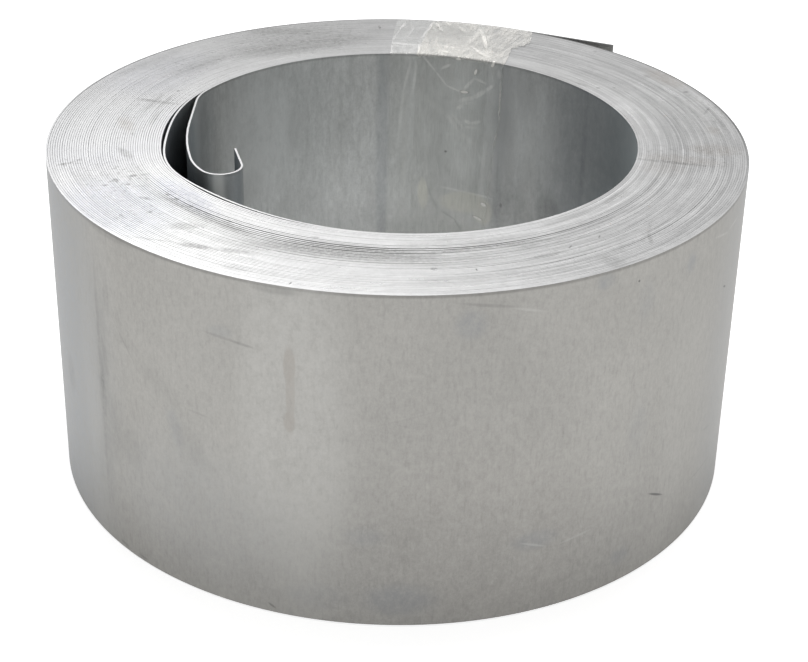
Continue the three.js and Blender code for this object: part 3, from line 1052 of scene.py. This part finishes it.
def build_tape(finish, strip):
    """Both wraps of the tape as closed sheets of film, just clear of the coil and of each other."""
    heights = np.array([vertex.co.z for vertex in strip.data.vertices]) / MM
    points, sheets, faces = [], [], []
    for number, wrap in enumerate(FILM_WRAPS):
        rings, sheet = film_wrap(*wrap, heights.max())
        sheet = np.dstack([sheet, np.full(sheet.shape[:2], number)])
        faces.append(loft(rings, endless=True).reshape(-1, 4) + sum(map(len, points)))
        points.append(rings.reshape(-1, 3))
        sheets.append(sheet.reshape(-1, 3))
    piece = new_object("clear_tape_wraps", np.vstack(points), np.vstack(faces), [finish])
    piece.data.shade_smooth()
    piece.data.set_sharp_from_angle(angle=math.radians(FILM_SHARP_CORNER))
    places = np.vstack(sheets).astype(np.float32)
    piece.data.attributes.new("sheet", "FLOAT_VECTOR", "POINT").data.foreach_set("vector", places.ravel())
    return piece


# The film's haze is a rubbed cloud with streaks along it, fainter in the bore and on the first wrap, and
# denser beside the bore's rim. It is faint too where the double film lies smooth.
RUBBED_STRETCH, RUBBED_NOISE = (0.5, 0.16, 9), (0.6, 3, 0.5)
STREAK_STRETCH, STREAKED_NOISE = (1.0, 0.09, 9), (0.9, 3, 0.7)
CREASE_BREAKS = (0.4, 0.6, 0.45, 1.1)
RUBBED_HAZE, STREAKED_HAZE = (0.35, 0.7, 0.0, 0.14), (0.42, 0.62, 0.0, 0.18)
NEAR_BORE, NEAR_BORE_HAZE = (16.0, 7.0), (0.35, 0.65, 0.06, 0.24)
BORE_HAZE, FIRST_WRAP_HAZE, SMOOTH_HAZE = 0.28, 0.4, 0.4
MOST_HAZE = 0.95
SMOOTH_PLACE, SMOOTH_SIZE = (80.0, 32.0), (9.0, 11.0)
BORE_TO_TOP = (-1.5, 0.5)
# A clear film mirrors at least this share, and more at a glance. Haze and gloss fade where the film turns
# down over the coil's outer rim.
LEAST_GLOSS, GLANCE_POWER = 0.04, 5.0
OUTER_RIM = 48.6
CLEAR_RIM = (0.6, 1.6, 0.1, 1.0)
LEAST_COVER = 0.001
FILM_ROUGHNESS = 0.18
FILM_WHITES = [(0.92, 0.915, 0.90, 1), (0.91, 0.888, 0.842, 1)]
FILM_BORE_WHITE = (0.95, 0.938, 0.90, 1)
FILM_TINT = (0.998, 1.0, 0.999, 1)


def film_haze(finish, sheet, on_top, second, along, rubbed, streaks):
    """How white the film is at each place."""
    white = 0.0
    for start, end, half_width, _, whiteness in FILM_CREASES:
        line = finish.stroke(sheet, film_sheet(*start), film_sheet(*end), half_width)
        white = finish.math("MULTIPLY_ADD", line, whiteness, white)
    white = finish.times(white, finish.line(rubbed, *CREASE_BREAKS))
    # The glints are painted highlights, added to the haze as white.
    for spot, half_size, tilt in FILM_GLINTS:
        glint = finish.mark(sheet, film_sheet(*spot), half_size, tilt, CRISP)
        white = finish.math("ADD", white, glint)
    near_bore = finish.times(finish.ramp(along, *NEAR_BORE), on_top, finish.line(rubbed, *NEAR_BORE_HAZE))
    cloud = finish.math("ADD", finish.line(rubbed, *RUBBED_HAZE), finish.line(streaks, *STREAKED_HAZE))
    smooth = finish.mark(sheet, film_sheet(*SMOOTH_PLACE), SMOOTH_SIZE)
    smooth = finish.math("MULTIPLY_ADD", smooth, SMOOTH_HAZE - 1, 1.0)
    by_place, by_wrap = finish.between(on_top, BORE_HAZE), finish.between(second, FIRST_WRAP_HAZE)
    cloud = finish.times(cloud, by_place, by_wrap, smooth)
    haze = finish.math("ADD", finish.math("ADD", white, near_bore), cloud)
    return finish.math("MINIMUM", haze, MOST_HAZE)


def tape_film():
    """Clear film: a faint warm tint, gloss that grows at a glance, and white haze where it is creased."""
    finish = Finish("clear_tape_film")
    tree = finish.tree
    place = finish.node("ShaderNodeAttribute", attribute_name="sheet").outputs["Vector"]
    _, along, second = finish.node("ShaderNodeSeparateXYZ", {0: place}).outputs
    sheet = finish.scaled(place, PLAN)
    on_top = finish.ramp(along, *BORE_TO_TOP)
    rubbed = finish.noise(finish.scaled(place, RUBBED_STRETCH), *RUBBED_NOISE)
    streaks = finish.noise(finish.scaled(place, STREAK_STRETCH), *STREAKED_NOISE)
    haze = film_haze(finish, sheet, on_top, second, along, rubbed, streaks)
    glance = finish.node("ShaderNodeLayerWeight").outputs["Facing"]
    gloss = finish.between(finish.math("POWER", glance, GLANCE_POWER), LEAST_GLOSS)
    stuck = finish.node("ShaderNodeNewGeometry").outputs["Backfacing"]
    from_rim = finish.math("ABSOLUTE", finish.math("SUBTRACT", along, OUTER_RIM))
    clear_rim = finish.ramp(from_rim, *CLEAR_RIM)
    gloss = finish.times(gloss, finish.math("SUBTRACT", 1.0, stuck), clear_rim)
    haze = finish.times(haze, clear_rim)
    cover = finish.math("MINIMUM", finish.math("ADD", haze, gloss), 1.0)
    share = finish.math("DIVIDE", gloss, finish.math("MAXIMUM", cover, LEAST_COVER))
    colour = finish.mix(second, *FILM_WHITES)
    colour = finish.mix(on_top, FILM_BORE_WHITE, colour)
    finish.set(Base_Color=colour, Roughness=FILM_ROUGHNESS, Metallic=share)
    clear = finish.node("ShaderNodeBsdfTransparent", {"Color": FILM_TINT})
    film = finish.node("ShaderNodeMixShader", {0: cover, 1: clear.outputs[0], 2: finish.shader.outputs[0]})
    tree.links.new(film.outputs[0], tree.nodes["Material Output"].inputs["Surface"])
    return finish.material


# Each rolled face: its colour, its shade from one height to another, how streaked it is, and the least share
# of a mark that shows where the mark is broken up. Then its strokes, group by group.
# The shade with height is painted: in the bore painted light, lighter lower down, and on the wall painted
# shade, darker towards the foot.
BORE_LOOK = INNER_ZINC_PAINTED_LIGHTER, (85.0, 175.0, 1.07, 0.98), 0.09, 0.8
WALL_LOOK = OUTER_ZINC, (20.0, 95.0, 0.94, 1.02), 0.0, 0.45
BORE_STROKES = [(FOLD, BORE_FOLDS), (DARK, BORE_SCRATCHES)]
WALL_STROKES = [(DARK, WALL_SCRATCHES)]

bore_zinc = zinc_face("zinc_bore", *BORE_LOOK, BORE_FACE, BORE_MARKS, BORE_STROKES, HOOK_PAINTED_SHEEN_AND_SHADE)
wall_zinc = zinc_face("zinc_wall", *WALL_LOOK, WALL_FACE, WALL_MARKS, WALL_STROKES)
strip = build_strip(bore_zinc, wall_zinc, slit_edges())
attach(strip, "root")
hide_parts("strip_coil")

tape = build_tape(tape_film(), strip)
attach(tape, "root")
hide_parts("tape_band")


# The camera, solved from the photo's rim and bore, in metres and radians. It looks along +Y, turned right by
# its yaw, down by its pitch and about its own view by its roll.
CAMERA_PLACE = (0.0, -0.7628, 0.4685)
CAMERA_PITCH = 0.4985
CAMERA_YAW = 0.0054
CAMERA_ROLL = 0.0204
SENSOR_WIDTH = 36.0
LENS = 83.98


def make_camera():
    data = bpy.data.cameras.new("camera")
    data.sensor_width = SENSOR_WIDTH
    data.lens = LENS
    camera = bpy.data.objects.new("camera", data)
    bpy.context.scene.collection.objects.link(camera)
    place = Vector(CAMERA_PLACE) + Vector((0, 0, FOOT * MM))
    yaw = Matrix.Rotation(-CAMERA_YAW, 4, "Z")
    pitch = Matrix.Rotation(math.pi / 2 - CAMERA_PITCH, 4, "X")
    roll = Matrix.Rotation(CAMERA_ROLL, 4, "Z")
    camera.matrix_world = Matrix.Translation(place) @ yaw @ pitch @ roll
    bpy.context.scene.camera = camera


# The floor glows where it is seen or mirrored, and a little more for the camera, so that it shows white.
FLOOR_HALF = 6.0
FLOOR_COLOUR = 0.82
SEEN_LIFT = 0.4
CAMERA_LIFT = 0.25
SKY_LEVEL = 0.52


def seen_directly(tree):
    """1 for camera, glossy and transmission rays, and 0 for the rest."""
    path = tree.nodes.new("ShaderNodeLightPath")
    total = path.outputs["Is Camera Ray"]
    for name in ("Is Glossy Ray", "Is Transmission Ray"):
        larger = tree.nodes.new("ShaderNodeMath")
        larger.operation = "MAXIMUM"
        tree.links.new(total, larger.inputs[0])
        tree.links.new(path.outputs[name], larger.inputs[1])
        total = larger.outputs[0]
    return total


def make_floor():
    """A pale floor that shows white, and keeps the coil's shadow."""
    corners = np.array([(x, y, 0) for x, y in ((-1, -1), (1, -1), (1, 1), (-1, 1))]) * FLOOR_HALF / MM
    finish = Finish("floor")
    tree = finish.tree
    tree.nodes.remove(finish.shader)
    diffuse = finish.node("ShaderNodeBsdfDiffuse", {"Color": (FLOOR_COLOUR,) * 3 + (1,)})
    camera_only = finish.node("ShaderNodeLightPath").outputs["Is Camera Ray"]
    lift = finish.math("MULTIPLY", seen_directly(tree), SEEN_LIFT)
    lift = finish.math("MULTIPLY_ADD", camera_only, CAMERA_LIFT, lift)
    glow = finish.node("ShaderNodeEmission", {"Color": (1, 1, 1, 1), "Strength": lift})
    both = finish.node("ShaderNodeAddShader", {0: diffuse.outputs[0], 1: glow.outputs[0]})
    tree.links.new(both.outputs[0], tree.nodes["Material Output"].inputs["Surface"])
    floor = new_object("floor", corners, np.array([[0, 1, 2, 3]]), [finish.material])


def make_sky():
    """An even sky, white where it is seen or mirrored."""
    world = bpy.data.worlds.new("sky")
    world.use_nodes = True
    bpy.context.scene.world = world
    tree = world.node_tree
    strength = tree.nodes.new("ShaderNodeMapRange")
    tree.links.new(seen_directly(tree), strength.inputs["Value"])
    strength.inputs["To Min"].default_value = SKY_LEVEL
    background = tree.nodes["Background"]
    background.inputs["Color"].default_value = (1, 1, 1, 1)
    tree.links.new(strength.outputs["Result"], background.inputs["Strength"])


# Each lamp: its name, place, what it points at, its breadth, its power and whether the metal mirrors it. The
# window lamps shine along the top towards the camera. The overhead one lights the floor, and through it the
# bore, but would burn out the coil's upper end where that mirrors it.
LAMPS = [
    ("window_low", (-0.20, 0.42, 0.48), (-0.1, -0.1, 0.15), 0.2, 0.21, True),
    ("window_middle", (-0.10, 0.40, 0.55), (-0.1, -0.1, 0.15), 0.2, 0.15, True),
    ("window_high", (0.02, 0.45, 0.70), (-0.1, -0.1, 0.15), 0.2, 0.52, True),
    ("overhead", (0.0, 0.3, 1.65), (0, 0, 0.1), 0.7, 11.0, False),
]


def make_lamp(name, place, target, size, power, mirrored):
    data = bpy.data.lights.new(name, "AREA")
    data.shape = "DISK"
    data.size = size
    data.energy = power
    lamp = bpy.data.objects.new(name, data)
    lamp.visible_camera = False
    lamp.visible_glossy = mirrored
    bpy.context.scene.collection.objects.link(lamp)
    lamp.location = place
    lamp.rotation_euler = (Vector(target) - Vector(place)).to_track_quat("-Z", "Y").to_euler()


make_camera()
make_floor()
make_sky()
for lamp in LAMPS:
    make_lamp(*lamp)
bpy.context.scene.view_settings.view_transform = "Standard"
